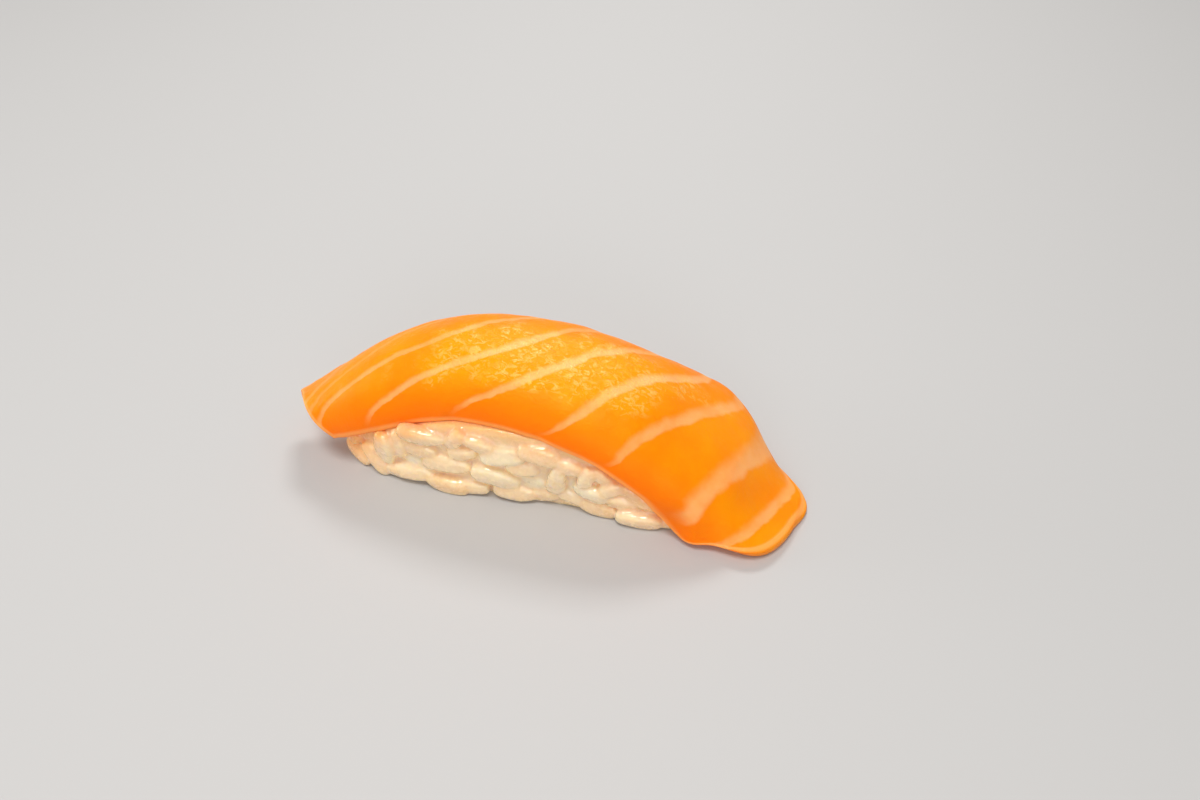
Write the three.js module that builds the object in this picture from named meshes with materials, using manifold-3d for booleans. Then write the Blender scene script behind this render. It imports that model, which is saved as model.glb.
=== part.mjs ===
// Salmon nigiri: a slice of raw salmon draped over a hand-pressed block of rice.
// Millimetres, +Z up, +X along the length, -Y the front. The block stands on z = 0.
import * as THREE from "three";
import { mergeVertices } from "three/addons/utils/BufferGeometryUtils.js";
import Module from "manifold-3d";

const wasm = await Module();
wasm.setup();

// ---- The slice: seven evenly spaced stations from its left tip to its right flap ----
const SLICE_LEFT = -35.6;
const SLICE_RIGHT = 37.7;
const CROWN_HEIGHT = [8.7, 16.9, 20.4, 20.2, 17.8, 10.5, 1.5];
const CROWN_Y = [-7.3, -2.4, 0.4, 0.8, 0.0, -1.1, -4.4];
const FRONT_REACH = [5.0, 8.9, 10.1, 10.8, 11.2, 10.3, 11.6];
const BACK_REACH = [5.0, 8.8, 10.0, 10.8, 11.6, 12.9, 7.2];
const FRONT_EDGE_HEIGHT = [2.7, 7.8, 12.3, 12.8, 9.5, 0.3, -3.0];
const BACK_EDGE_HEIGHT = [6.4, 10.3, 12.8, 13.0, 11.3, 7.7, -0.6];
const CROWN_THICKNESS = [4.6, 4.2, 4.6, 4.6, 4.4, 4.0, 1.6];
const EDGE_THICKNESS = [2.4, 3.2, 3.4, 3.4, 3.2, 2.2, 0.8];
const ARCH_POWER = 2.16;

// Both ends are cut on a slant and their corners are rounded off. The left one is undercut.
const LEFT_SLANT = -4.6;
const LEFT_UNDERCUT = 0.9;
const LEFT_FRONT_ROUNDING = 1.7;
const LEFT_BACK_ROUNDING = 3.8;
const RIGHT_SLANT = 5.1;
const RIGHT_BOW = 4.2;
const RIGHT_FRONT_ROUNDING = 4.6;
const RIGHT_BACK_ROUNDING = 5.2;
const CORNER_POWER = 4;

// The front edge stays up on the rice, then drops to the floor at the heel and turns out there.
const HEEL_X = 25.0;
const HEEL_LENGTH = 2.2;
const HEEL_REACH = 0.9;
const HEEL_LIFT = 1.3;
const HEEL_LIFT_X = 22.2;

const FLAP_RIM_HEIGHT = 1.0;
const FLAP_BLEND = 0.8;
const FLAP_SETTLES_FROM = 0.74;
const RIM_SHARE_ACROSS = 0.055;
const RIM_SHARE_ALONG = 0.022;
const ENDS_ONLY = 9;
const SLICE_STEPS = { along: 46, across: 18, deep: 3 };

// ---- The rice ----
const RICE_CENTRE = new THREE.Vector2(1.4, -1.1);
const RICE_TURN = THREE.MathUtils.degToRad(3.8);
const RICE_HALF_LENGTH = 31.6;
const RICE_HALF_WIDTH = 9.3;
const RICE_PLAN_POWER = 4.3;
const FOOT_HEIGHT = 5;
const FOOT_INSET = { ends: 3.2, sides: -0.7 };
const RIGHT_TAPER = { start: 17, front: 0.04, back: 0.3 };
const GRAIN_STANDS_OUT = 0.9;
const RICE_BELOW_SLICE = 0.6;
const CORE_STRAIGHTENS_AT = 10;
const RICE_STEPS = 40;
const WALL_STEP = 0.02;

// The core's half section, as shares of its plan radius and of its height there.
const CORE_PROFILE = [
  [0, 0],
  [0.5, 0],
  [1, 0],
  [1, 0.25],
  [1, 0.5],
  [1, 0.75],
  [0.98, 0.95],
  [0.9, 1],
  [0.72, 1],
  [0.5, 1],
  [0.25, 1],
  [0, 1],
];

const GRAIN_HALF = { length: 3.7, width: 1.75, depth: 1.4 };
const GRAIN_SPACING = { least: 4.4, extra: 1.2, up: 2.6 };
const GRAIN_SCALE = { least: 0.85, extra: 0.3 };
const GRAIN_PLUMPNESS = { least: 0.9, extra: 0.2 };
const GRAIN_BLUNTNESS = 0.6;

// How far, in radians, a grain may roll, lean and turn off the wall, and how far off its row.
const GRAIN_ROLL = 0.6;
const GRAIN_LEAN = 1.1;
const STEEP_GRAIN_LEAN = 1.2;
const STEEP_GRAIN_SHARE = 0.2;
const CRAMPED_LEAN_SHARE = 0.3;
const GRAIN_TURN = 0.35;
const GRAIN_OFF_ROW = 0.9;
const LOWEST_GRAIN = 1.1;
const GRAIN_OVER_EDGE = 0.3;
const GRAIN_MOST_LOWERED = 1.8;
const GRAIN_SIDES = 5;
const GRAIN_RINGS = 4;
const GRAIN_SEED = 20;

const GAP = 0.3;
const STATION_OVERRUN = 1.1;
const BELOW_FLOOR = { length: 200, width: 100, depth: 20 };

// Smooth curve through evenly spaced station values; t runs from -1 to 1.
function along(values, t) {
  const last = values.length - 1;
  const place = ((THREE.MathUtils.clamp(t, -STATION_OVERRUN, STATION_OVERRUN) + 1) / 2) * last;
  const i = THREE.MathUtils.clamp(Math.floor(place), 0, last - 1);
  const w = place - i;
  const b = values[i];
  const c = values[i + 1];
  const a = i > 0 ? values[i - 1] : 2 * b - c;
  const d = i + 2 <= last ? values[i + 2] : 2 * c - b;
  const bend = 2 * a - 5 * b + 4 * c - d + w * (3 * (b - c) + d - a);
  return b + 0.5 * w * (c - a + w * bend);
}

function stationAt(x) {
  return ((x - SLICE_LEFT) / (SLICE_RIGHT - SLICE_LEFT)) * 2 - 1;
}

// The larger of two heights, blended over where they cross.
function softMax(a, b) {
  return (a + b + Math.hypot(a - b, FLAP_BLEND)) / 2;
}

// A swelling of the given height, centred at one x and as long as the heel.
function swelling(x, centre, height) {
  return height * Math.exp(-(((x - centre) / HEEL_LENGTH) ** 2));
}

// The slice's section at x, on the front (side < 0) or the back, thickened by grow all round.
function sectionAt(x, side, grow) {
  const t = stationAt(x);
  const front = side < 0;
  let reach = along(front ? FRONT_REACH : BACK_REACH, t);
  let edge = along(front ? FRONT_EDGE_HEIGHT : BACK_EDGE_HEIGHT, t);
  if (front) {
    reach += swelling(x, HEEL_X, HEEL_REACH);
    edge += swelling(x, HEEL_LIFT_X, HEEL_LIFT);
  }
  const crown = along(CROWN_HEIGHT, t);
  const under = Math.max(crown - along(CROWN_THICKNESS, t), 0) - grow;
  return {
    y: along(CROWN_Y, t),
    reach: reach + grow,
    innerReach: reach - along(EDGE_THICKNESS, t) - grow,
    crown: crown + grow,
    under,
    topEdge: softMax(edge, FLAP_RIM_HEIGHT) - grow,
    bottomEdge: Math.min(Math.max(edge, 0) - grow, under),
  };
}

// Towards the flap's end the section sinks until its whole underside lies on the floor.
function settled(cut, s, grow) {
  const share = THREE.MathUtils.smoothstep(s, FLAP_SETTLES_FROM, 1);
  const drop = share * (cut.under + grow);
  return {
    ...cut,
    crown: cut.crown - drop,
    under: cut.under - drop,
    topEdge: THREE.MathUtils.lerp(cut.topEdge, FLAP_RIM_HEIGHT - grow, share),
    bottomEdge: THREE.MathUtils.lerp(cut.bottomEdge, -grow, share),
  };
}

// A place on an arch of the given reach that rises from edge to crown; v runs from -1 to 1.
function archPoint(x, y, reach, edge, crown, v) {
  const turn = (v * Math.PI) / 2;
  const across = Math.sign(v) * Math.abs(Math.sin(turn)) ** (2 / ARCH_POWER);
  const up = Math.abs(Math.cos(turn)) ** (2 / ARCH_POWER);
  return new THREE.Vector3(x, y + reach * across, edge + Math.max(crown - edge, 0) * up);
}

// A point of the slice: s along it and v across it from -1 to 1, depth from its outside (0) to
// its underside (1). The rims bulge, so the outside stops short of them and the edges are round.
function slicePoint(s, v, depth, grow) {
  const h = depth ** 3 / (depth ** 3 + (1 - depth) ** 3);
  const bulge = Math.sin(Math.PI * depth);
  const corner = Math.abs(v) ** CORNER_POWER;
  const leftRounding = v < 0 ? LEFT_FRONT_ROUNDING : LEFT_BACK_ROUNDING;
  const rightRounding = v < 0 ? RIGHT_FRONT_ROUNDING : RIGHT_BACK_ROUNDING;
  const left = SLICE_LEFT + LEFT_SLANT * v + LEFT_UNDERCUT * depth + leftRounding * corner;
  const right = SLICE_RIGHT + RIGHT_SLANT * v - RIGHT_BOW * v * v - rightRounding * corner;
  const atEnds = s ** ENDS_ONLY;
  const share = (s - RIM_SHARE_ALONG * (1 - bulge) * atEnds + 1) / 2;
  const x = THREE.MathUtils.lerp(left, right, share) + grow * atEnds;
  const cut = settled(sectionAt(x, v, grow), s, grow);
  const outerV = v * (1 - RIM_SHARE_ACROSS * (1 - bulge));
  const outside = archPoint(x, cut.y, cut.reach, cut.topEdge, cut.crown, outerV);
  const underside = archPoint(x, cut.y, cut.innerReach, cut.bottomEdge, cut.under, v);
  return outside.lerp(underside, h);
}

// Joins the vertices along a geometry's seams, so that its surface is closed.
function sewn(geometry) {
  geometry.deleteAttribute("normal");
  geometry.deleteAttribute("uv");
  return mergeVertices(geometry, 1e-4);
}

function toSolid(geometry) {
  return new wasm.Manifold(
    new wasm.Mesh({
      numProp: 3,
      vertProperties: new Float32Array(geometry.attributes.position.array),
      triVerts: new Uint32Array(geometry.index.array),
    }),
  );
}

function toGeometry(solid) {
  const mesh = solid.getMesh();
  const geometry = new THREE.BufferGeometry();
  geometry.setAttribute("position", new THREE.BufferAttribute(mesh.vertProperties, 3));
  geometry.setIndex(new THREE.BufferAttribute(mesh.triVerts, 1));
  geometry.computeVertexNormals();
  return geometry;
}

function mapVertices(geometry, move) {
  const position = geometry.attributes.position;
  const point = new THREE.Vector3();
  for (let i = 0; i < position.count; i++) {
    point.fromBufferAttribute(position, i);
    const moved = move(point);
    position.setXYZ(i, moved.x, moved.y, moved.z);
  }
  return geometry;
}

// The slice is a box bent over the rice.
function sliceSolid(grow) {
  const { along: n, across: m, deep } = SLICE_STEPS;
  const box = sewn(new THREE.BoxGeometry(2, 2, 2, n, m, deep));
  return toSolid(mapVertices(box, (p) => slicePoint(p.x, p.y, (1 - p.z) / 2, grow)));
}

function mulberry(seed) {
  let state = seed;
  return () => {
    state = (state + 0x6d2b79f5) | 0;
    let t = Math.imul(state ^ (state >>> 15), 1 | state);
    t = (t + Math.imul(t ^ (t >>> 7), 61 | t)) ^ t;
    return ((t ^ (t >>> 14)) >>> 0) / 2 ** 32;
  };
}

// The block's outline at height z, in plan, for an angle round it. It leans in at the foot.
function ricePlan(angle, z, shrink) {
  const foot = Math.max(0, 1 - z / FOOT_HEIGHT) ** 2;
  const power = 2 / RICE_PLAN_POWER;
  const c = Math.sign(Math.cos(angle)) * Math.abs(Math.cos(angle)) ** power;
  const s = Math.sign(Math.sin(angle)) * Math.abs(Math.sin(angle)) ** power;
  const x = (RICE_HALF_LENGTH - FOOT_INSET.ends * foot - shrink) * c;
  const past = THREE.MathUtils.smoothstep(x, RIGHT_TAPER.start, RICE_HALF_LENGTH);
  const width = RICE_HALF_WIDTH - FOOT_INSET.sides * foot - shrink;
  const y = width * s * (1 - (s < 0 ? RIGHT_TAPER.front : RIGHT_TAPER.back) * past);
  return new THREE.Vector2(x, y).rotateAround(new THREE.Vector2(), RICE_TURN).add(RICE_CENTRE);
}

// How high the rice reaches at a place, just under the slice.
function riceTop(x, y) {
  const t = stationAt(x);
  const cut = sectionAt(x, y - along(CROWN_Y, t), RICE_BELOW_SLICE);
  const n = Math.min(1, Math.abs(y - cut.y) / cut.innerReach);
  const arch = (1 - n ** ARCH_POWER) ** (1 / ARCH_POWER);
  return Math.max(GAP, cut.bottomEdge + (cut.under - cut.bottomEdge) * arch);
}

// The pressed core: a lathe's rings, each stretched to the block's plan and to its top.
function riceCore() {
  const profile = CORE_PROFILE.map(([r, z]) => new THREE.Vector2(r, z));
  const lathe = sewn(new THREE.LatheGeometry(profile, RICE_STEPS));
  lathe.rotateX(Math.PI / 2);
  const block = mapVertices(lathe, (p) => {
    const radius = Math.hypot(p.x, p.y);
    const angle = Math.atan2(p.y, p.x);
    const rim = ricePlan(angle, p.z * CORE_STRAIGHTENS_AT, GRAIN_STANDS_OUT);
    const place = RICE_CENTRE.clone().lerp(rim, radius);
    return new THREE.Vector3(place.x, place.y, p.z * riceTop(place.x, place.y));
  });
  return toSolid(block);
}

// One grain, lying against the wall at an angle round the block.
function grain(angle, z, random) {
  const at = ricePlan(angle, z, GRAIN_STANDS_OUT);
  const next = ricePlan(angle + WALL_STEP, z, GRAIN_STANDS_OUT);
  const wallAngle = Math.atan2(next.y - at.y, next.x - at.x);
  const size = GRAIN_SCALE.least + GRAIN_SCALE.extra * random();
  const width = GRAIN_HALF.width * (GRAIN_PLUMPNESS.least + GRAIN_PLUMPNESS.extra * random());
  const ball = sewn(new THREE.SphereGeometry(1, GRAIN_SIDES, GRAIN_RINGS));
  const shape = mapVertices(ball, (p) => {
    const radius = Math.hypot(p.x, p.z) || 1;
    const plump = radius ** GRAIN_BLUNTNESS / radius;
    return new THREE.Vector3(p.x * plump, p.y, p.z * plump);
  });
  shape.rotateZ(Math.PI / 2);
  shape.scale(GRAIN_HALF.length * size, GRAIN_HALF.depth, width);
  shape.rotateX(GRAIN_ROLL * (random() - 0.5));
  const cramped = riceTop(at.x, at.y) - z < GRAIN_HALF.length;
  const steep = random() < STEEP_GRAIN_SHARE;
  const lean = steep ? STEEP_GRAIN_LEAN : GRAIN_LEAN * (random() - 0.5);
  shape.rotateY(cramped ? lean * CRAMPED_LEAN_SHARE : lean);
  shape.rotateZ(wallAngle + GRAIN_TURN * (random() - 0.5));
  shape.translate(at.x, at.y, z);
  shape.computeBoundingBox();
  const over = shape.boundingBox.max.z - (riceTop(at.x, at.y) + GRAIN_OVER_EDGE);
  if (over > GRAIN_MOST_LOWERED) return null;
  return shape.translate(0, 0, -Math.max(0, over));
}

// Rows of grains up the walls, evenly spaced round the block wherever the slice leaves room.
function grains() {
  const random = mulberry(GRAIN_SEED);
  const list = [];
  const rows = Math.ceil(Math.max(...CROWN_HEIGHT) / GRAIN_SPACING.up);
  for (let row = 0; row < rows; row++) {
    const z = LOWEST_GRAIN + row * GRAIN_SPACING.up;
    let toNext = GRAIN_SPACING.least * random();
    let before = ricePlan(0, z, GRAIN_STANDS_OUT);
    for (let degree = 1; degree <= 360; degree++) {
      const angle = THREE.MathUtils.degToRad(degree);
      const here = ricePlan(angle, z, GRAIN_STANDS_OUT);
      toNext -= here.distanceTo(before);
      before = here;
      if (toNext > 0) continue;
      toNext = GRAIN_SPACING.least + GRAIN_SPACING.extra * random();
      const height = z + GRAIN_OFF_ROW * (random() - 0.5);
      const shape = grain(angle, height, random);
      if (shape) list.push(shape);
    }
  }
  return list;
}

function largestPiece(solid) {
  const pieces = solid.decompose();
  return pieces.reduce((best, piece) => (piece.volume() > best.volume() ? piece : best));
}

function riceSolid() {
  const { length, width, depth } = BELOW_FLOOR;
  const below = sewn(new THREE.BoxGeometry(length, width, depth)).translate(0, 0, -depth / 2);
  let solid = riceCore();
  for (const shape of grains()) solid = solid.add(toSolid(shape));
  solid = solid.subtract(toSolid(below)).subtract(sliceSolid(GAP));
  return largestPiece(solid);
}

const salmonMaterial = new THREE.MeshStandardMaterial({
  color: 0xf58a12,
  roughness: 0.35,
  metalness: 0,
});
const riceMaterial = new THREE.MeshStandardMaterial({
  color: 0xeedcb8,
  roughness: 0.4,
  metalness: 0,
});

const salmon = new THREE.Mesh(toGeometry(sliceSolid(0)), salmonMaterial);
salmon.name = "salmon";

const rice = new THREE.Mesh(toGeometry(riceSolid()), riceMaterial);
rice.name = "rice";

const nigiri = new THREE.Group();
nigiri.add(salmon, rice);

// The origin is at the middle of the footprint's box, on the floor.
const box = new THREE.Box3().setFromObject(nigiri);
const centre = box.getCenter(new THREE.Vector3());
nigiri.position.set(-centre.x, -centre.y, -box.min.z);

export default nigiri;
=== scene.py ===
# Looks of a salmon nigiri. Shapes are worked out in millimetres in the slice's own frame, and
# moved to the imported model's frame, in metres, when a mesh is made.
import math
import random

import bpy
import numpy as np
from mathutils import Matrix, Vector, noise


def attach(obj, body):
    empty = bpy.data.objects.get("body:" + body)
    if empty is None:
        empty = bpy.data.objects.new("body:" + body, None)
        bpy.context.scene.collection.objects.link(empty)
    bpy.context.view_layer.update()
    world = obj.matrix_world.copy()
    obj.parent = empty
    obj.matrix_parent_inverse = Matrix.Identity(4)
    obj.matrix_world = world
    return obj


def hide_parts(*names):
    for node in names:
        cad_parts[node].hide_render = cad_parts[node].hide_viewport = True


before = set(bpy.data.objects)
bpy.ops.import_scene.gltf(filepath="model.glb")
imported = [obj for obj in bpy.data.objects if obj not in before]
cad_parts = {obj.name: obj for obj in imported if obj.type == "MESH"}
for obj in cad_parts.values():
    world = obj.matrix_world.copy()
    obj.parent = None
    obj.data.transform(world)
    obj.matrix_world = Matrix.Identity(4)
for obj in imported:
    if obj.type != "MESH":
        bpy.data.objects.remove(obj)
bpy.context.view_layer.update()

MM = 0.001
TO_FRAME = np.array([-0.659, -0.062, 0.0])  # from the slice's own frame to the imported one, mm

# ---- Camera: angles in degrees, lengths in mm ----
CAMERA_AZIMUTH, CAMERA_ELEVATION, CAMERA_ROLL = 15.81, 44.19, 0.82
CAMERA_AIM = Vector((5.33, -2.10, 8.0))
CAMERA_BACK, CAMERA_RIGHT, CAMERA_UP = 142.99, 3.00, 4.53
FOCAL_PIXELS, FRAME_WIDTH_PIXELS, SENSOR_WIDTH = 996.49, 1200, 36
CLIP_START_M = 0.01

# ---- Stage, in metres and watts ----
FLOOR_HALF_WIDTH = 1.5
FLOOR_COLOUR, FLOOR_ROUGHNESS = (0.52, 0.51, 0.50, 1), 0.7
STUDIO_COLOUR, STUDIO_STRENGTH = (1.0, 0.98, 0.95, 1), 0.40
SOFTBOXES = [
    # name,        place,                 aim,              size,        power
    ("back_light", (-0.05, 0.30, 0.34), (0, 0, 0.01), (0.14, 0.09), 0.85),
    ("top_light", (-0.02, -0.12, 0.42), (0, 0, 0.01), (0.13, 0.13), 0.98),
    ("front_fill", (0.10, -0.42, 0.15), (0, 0, 0.01), (0.40, 0.20), 0.60),
    ("left_fill", (-0.40, -0.06, 0.10), (-0.02, 0, 0.01), (0.20, 0.15), 0.32),
]

# ---- The slice: seven evenly spaced stations from its left tip to its right flap, mm ----
SLICE_LEFT, SLICE_RIGHT = -35.6, 37.7
CROWN_HEIGHT = [8.7, 16.9, 20.4, 20.2, 17.8, 10.5, 1.5]
CROWN_Y = [-7.3, -2.4, 0.4, 0.8, 0.0, -1.1, -4.4]
FRONT_REACH = [5.0, 8.9, 10.1, 10.8, 11.2, 10.3, 11.6]
BACK_REACH = [5.0, 8.8, 10.0, 10.8, 11.6, 12.9, 7.2]
FRONT_EDGE_HEIGHT = [2.7, 7.8, 12.3, 12.8, 9.5, 0.3, -3.0]
BACK_EDGE_HEIGHT = [6.4, 10.3, 12.8, 13.0, 11.3, 7.7, -0.6]
CROWN_THICKNESS = [4.6, 4.2, 4.6, 4.6, 4.4, 4.0, 1.6]
EDGE_THICKNESS = [2.4, 3.2, 3.4, 3.4, 3.2, 2.2, 0.8]
ARCH_POWER, CORNER_POWER, THICKNESS_POWER = 2.16, 4, 3
LEFT_SLANT, LEFT_UNDERCUT, LEFT_FRONT_ROUNDING, LEFT_BACK_ROUNDING = -4.6, 0.9, 1.7, 3.8
LEFT_BOW, LEFT_THINNING, LEFT_THINS_TO = 0.8, 0.45, -0.86
RIGHT_SLANT, RIGHT_BOW, RIGHT_FRONT_ROUNDING, RIGHT_BACK_ROUNDING = 5.1, 4.2, 4.6, 5.2
HEEL_X, HEEL_LENGTH, HEEL_REACH = 24.6, 2.0, 0.8
HEEL_LIFT_X, HEEL_LIFT = 21.6, 1.5
FLAP_RIM_HEIGHT, FLAP_BLEND, FLAP_SETTLES_FROM = 1.0, 0.8, 0.74
RIM_SHARE_ACROSS, RIM_SHARE_ALONG, ENDS_ONLY = 0.055, 0.022, 9
HALF_LENGTH, HALF_GIRTH = (SLICE_RIGHT - SLICE_LEFT) / 2, 16.5
SLICE_STEPS = (360, 110, 14)  # along, across and through

# ---- Fat lines, as places along the slice (-1 to 1) where each crosses six girths ----
LINE_GIRTHS = [-0.9, -0.6, -0.3, 0.0, 0.5, 1.0]
LINE_EASE, SLOPE_STEP = 0.08, 0.02
FAT_LINES = [
    # places along at each girth,                 half width mm, strength
    ([-1.16, -1.10, -1.00, -0.90, -0.77, -0.62], 0.55, 0.45),
    ([-1.10, -1.02, -0.93, -0.72, -0.36, -0.20], 0.50, 0.40),
    ([-1.02, -0.95, -0.72, -0.36, -0.10, 0.03], 0.62, 0.85),
    ([-0.77, -0.56, -0.27, -0.085, 0.10, 0.24], 0.70, 0.95),
    ([-0.31, -0.12, 0.00, 0.125, 0.325, 0.43], 0.75, 0.95),
    ([0.17, 0.21, 0.255, 0.335, 0.53, 0.61], 0.80, 1.00),
    ([0.50, 0.44, 0.475, 0.545, 0.67, 0.75], 0.85, 0.95),
    ([0.86, 0.757, 0.742, 0.767, 0.81, 0.86], 1.30, 1.00),
    ([1.03, 0.94, 0.915, 0.922, 0.943, 0.985], 0.80, 0.85),
]

# ---- The slice's relief, mm. A wave of noise is its wavelength, height and seed. ----
SALMON_WAVES = [(9.0, 0.22, 1), (3.0, 0.05, 2)]
GROOVE_DEPTH, GROOVE_HALF_WIDTH = 0.10, 1.3
UNDERSIDE_RELIEF = 0.3

# ---- Where the slice's looks change: pairs are from and to, along it, across it or through it ----
TOP_ENDS, RELIEF_ENDS = (0.5, 0.9), (0.93, 1.0)
FAT_WIDENS, FAT_WIDTH_AT_FRONT = (-1.0, -0.5), 0.6
FAT_APPEARS, FAT_SINKS, FAT_SUNK = (-0.98, -0.72), (0.05, 0.5), 0.7
RIM_AT_ENDS, RIM_AT_EDGES, RIM_SINKS = (0.991, 1.0), (0.965, 1.0), (0.12, 0.36)
# Where painted shade darkens the slice's front and back sides
SHADE_AT_FRONT, SHADE_AT_BACK, SHADE_BACK_SHARE = (-1.0, -0.4), (0.5, 1.0), 0.5
# The wet patch on the crown: glossier, with a sheen painted in its colour
WET_SHEEN_GIRTH, WET_SHEEN_GIRTH_SLOPE, WET_SHEEN_GIRTH_CURVE = -0.13, 0.2, 1.1  # the patch's middle, along the slice
WET_SHEEN_PLACE, WET_SHEEN_HALF_LENGTH, WET_SHEEN_HALF_GIRTH = 0.03, 0.60, 0.42
WET_SHEEN_BORDER, WET_SHEEN_BORDER_WAVES = (0.62, 1.1), [(5.0, 0.35, 3)]

# ---- The rice block, mm ----
RICE_CENTRE = np.array([1.4, -1.1])
RICE_TURN = math.radians(3.8)
RICE_HALF_LENGTH, RICE_HALF_WIDTH, RICE_PLAN_POWER = 31.6, 9.3, 4.3
LOWEST_TOP = 0.2
FOOT_HEIGHT, FOOT_INSET_ENDS, FOOT_INSET_SIDES = 5.0, 3.2, -0.7
TAPER_START, TAPER_FRONT, TAPER_BACK = 17.0, 0.04, 0.3
HOLLOW_X, HOLLOW_LENGTH, HOLLOW_DEPTH, HOLLOW_HEIGHTS = 4.5, 4.5, 1.1, (1.5, 5.5)
CORE_INTO_SLICE, CORE_INSIDE, CORE_FOOT_INSIDE, CORE_FOOT_SHARE = 0.1, 0.5, 1.0, 0.25
CORE_SIDES = 200
CORE_WALL_SHARES = (0.0, 0.12, 0.25, 0.4, 0.6, 0.8, 0.94)  # of the height, at full width
CORE_TOP_SHARES = np.linspace(0.97, 0.05, 24)  # of the width, at full height
WALL_INSIDE, WALL_STEPS, TANGENT_STEP, FRONT_SINE = 1.0, 1440, 0.03, -0.3

# ---- Its grains, mm; leans in radians unless they say otherwise ----
GRAIN_HALF = (3.5, 1.65, 1.1)
GRAIN_POWER, GRAIN_BLUNTNESS = 2.7, (0.45, 0.65)
GRAIN_WIDTHS, GRAIN_DEPTHS = (0.9, 1.1), (0.85, 1.1)
GRAIN_TAPER, GRAIN_BEND, GRAIN_TILT, GRAIN_ROLL = 0.16, 0.16, 0.16, 0.35
GRAIN_STANDS_OUT = 0.45
BALL_SIDES, BALL_RINGS = 18, 12
LINE_POINTS, LINE_END_INSET, NEIGHBOURS_WITHIN = 5, 0.9, 9
REACH_UP, REACH_DOWN, SPARE_ABOVE = 0.75, 0.4, 0.3
GRAIN_SEED = 11
LAYERS = [
    # least gap between middle lines, how far out, tries
    (2.7, 0.0, 9000),
    (2.1, -0.2, 9000),
    (1.5, -0.45, 6000),
]
STEEP_SHARE, STEEP_LEAN, USUAL_LEAN = 0.2, 1.4, 0.35
RANDOM_HEIGHTS, RANDOM_OUT, RANDOM_SIZES = (0.7, 17.0), (-0.2, 0.15), (0.7, 1.1)
SEEN_GRAINS = [
    # x, height, lean in degrees, share of the full length, how far out, tone
    (-15.2, 10.0, -5, 1.00, 0.20, 0.9),
    (-11.7, 5.2, 5, 1.05, 0.20, 0.5),
    (-4.6, 4.3, -14, 1.05, 0.35, 0.7),
    (-3.0, 8.9, 10, 0.95, 0.25, 0.9),
    (-21.3, 5.6, 86, 0.95, 0.20, 0.9),
    (3.6, 5.8, 80, 0.85, 0.20, 0.6),
    (17.0, 1.5, -3, 0.95, 0.90, 0.9),
    (9.5, 4.7, -10, 0.75, 0.45, 1.0),
    (7.2, 2.6, -15, 0.80, 0.10, 0.6),
    (-19.0, 6.8, 88, 0.70, -0.10, 0.5),
    (-23.4, 2.7, -52, 0.90, 0.10, 0.6),
    (-20.4, 1.3, -12, 0.65, 0.00, 0.5),
    (-17.4, 2.1, 0, 0.85, 0.10, 0.6),
    (-15.6, 6.9, -2, 0.80, 0.00, 0.3),
    (-12.6, 1.2, -5, 0.90, 0.50, 0.1),
    (-8.6, 1.5, 0, 0.70, -0.10, 0.5),
    (-6.4, 10.4, -22, 0.70, 0.25, 0.6),
    (-10.0, 10.6, 55, 0.65, 0.05, 0.6),
    (-9.2, 8.0, 15, 0.65, -0.10, 0.4),
    (0.6, 7.0, -12, 0.70, 0.00, 0.4),
    (-1.8, 1.7, -5, 0.90, 0.00, 0.5),
    (3.0, 1.7, 6, 0.85, 0.00, 0.3),
    (2.6, 10.2, -8, 0.85, 0.20, 0.4),
    (6.2, 9.1, -12, 0.60, 0.00, 0.5),
    (8.7, 7.7, 72, 0.60, 0.25, 0.7),
    (12.5, 6.1, 25, 0.55, 0.35, 0.7),
    (10.9, 8.1, -40, 0.55, 0.10, 0.5),
    (15.2, 5.6, -25, 0.60, 0.10, 0.4),
    (14.2, 3.7, -5, 0.80, 0.05, 0.5),
    (11.0, 1.3, -8, 0.80, 0.00, 0.3),
    (18.4, 4.1, -14, 0.75, 0.15, 0.4),
    (21.8, 1.2, -10, 0.60, 0.00, 0.5),
]

# ---- The rice's skin, once the grains are joined ----
RICE_VOXEL, RICE_TRIANGLES = 0.21, 190000
OWNER_CANDIDATES, POINTS_AT_A_TIME = 6, 4000
SEAM, BARE_CORE = (0.0, 0.5), (1.1, 1.5)  # in shares of a grain's half size
CREASE_FILL, FILLET, CREASE_FILLET, FILLET_PASSES = 0.08, 0.1, 0.3, 3
RICE_WAVES = [(1.9, 0.07, 4), (0.8, 0.02, 5)]
# The second pair is the height over which the painted shade at the foot fades
FLOOR_CLEARED, FOOT_SHADE = (0.1, 0.6), (0.0, 4.5)
# Painted orange light from the slice, under its edge and at the left end; a slight orange tint on the
# right half
EDGE_GLOW, EDGE_GLOW_FADES = 0.75, 1.7
LEFT_GLOW, LEFT_GLOW_FADES, LEFT_GLOW_FROM = 1.1, 9.0, (19.0, 28.0)
RIGHT_TINT, RIGHT_TINT_FROM = 0.2, (5.0, 20.0)

# ---- Colours, linear ----
FLESH, FLESH_CLOUDY = (1.0, 0.25, 0.0, 1), (1.0, 0.30, 0.0, 1)
# Painted shade for the slice's sides, then a painted sheen for the wet patch on its crown
FLESH_SHADED, FLESH_SHEEN = (1.0, 0.178, 0.0, 1), (1.0, 0.345, 0.0, 1)
# Painted highlights for the wet flecks, then a painted highlight along the arris
FLECK_HIGHLIGHT, RIM_HIGHLIGHT = (1.0, 0.55, 0.14, 1), (1.0, 0.50, 0.17, 1)
# The fat's own colour, then paler fat under the painted sheen
FAT_DRY, FAT_SHEEN = (1.0, 0.44, 0.15, 1), (1.0, 0.55, 0.2, 1)
GRAIN_DARK, GRAIN_PALE = (0.86, 0.58, 0.31, 1), (0.97, 0.78, 0.56, 1)
GRAIN_CLOUDY, RICE_CREASE = (0.98, 0.80, 0.56, 1), (0.95, 0.67, 0.38, 1)
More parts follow.
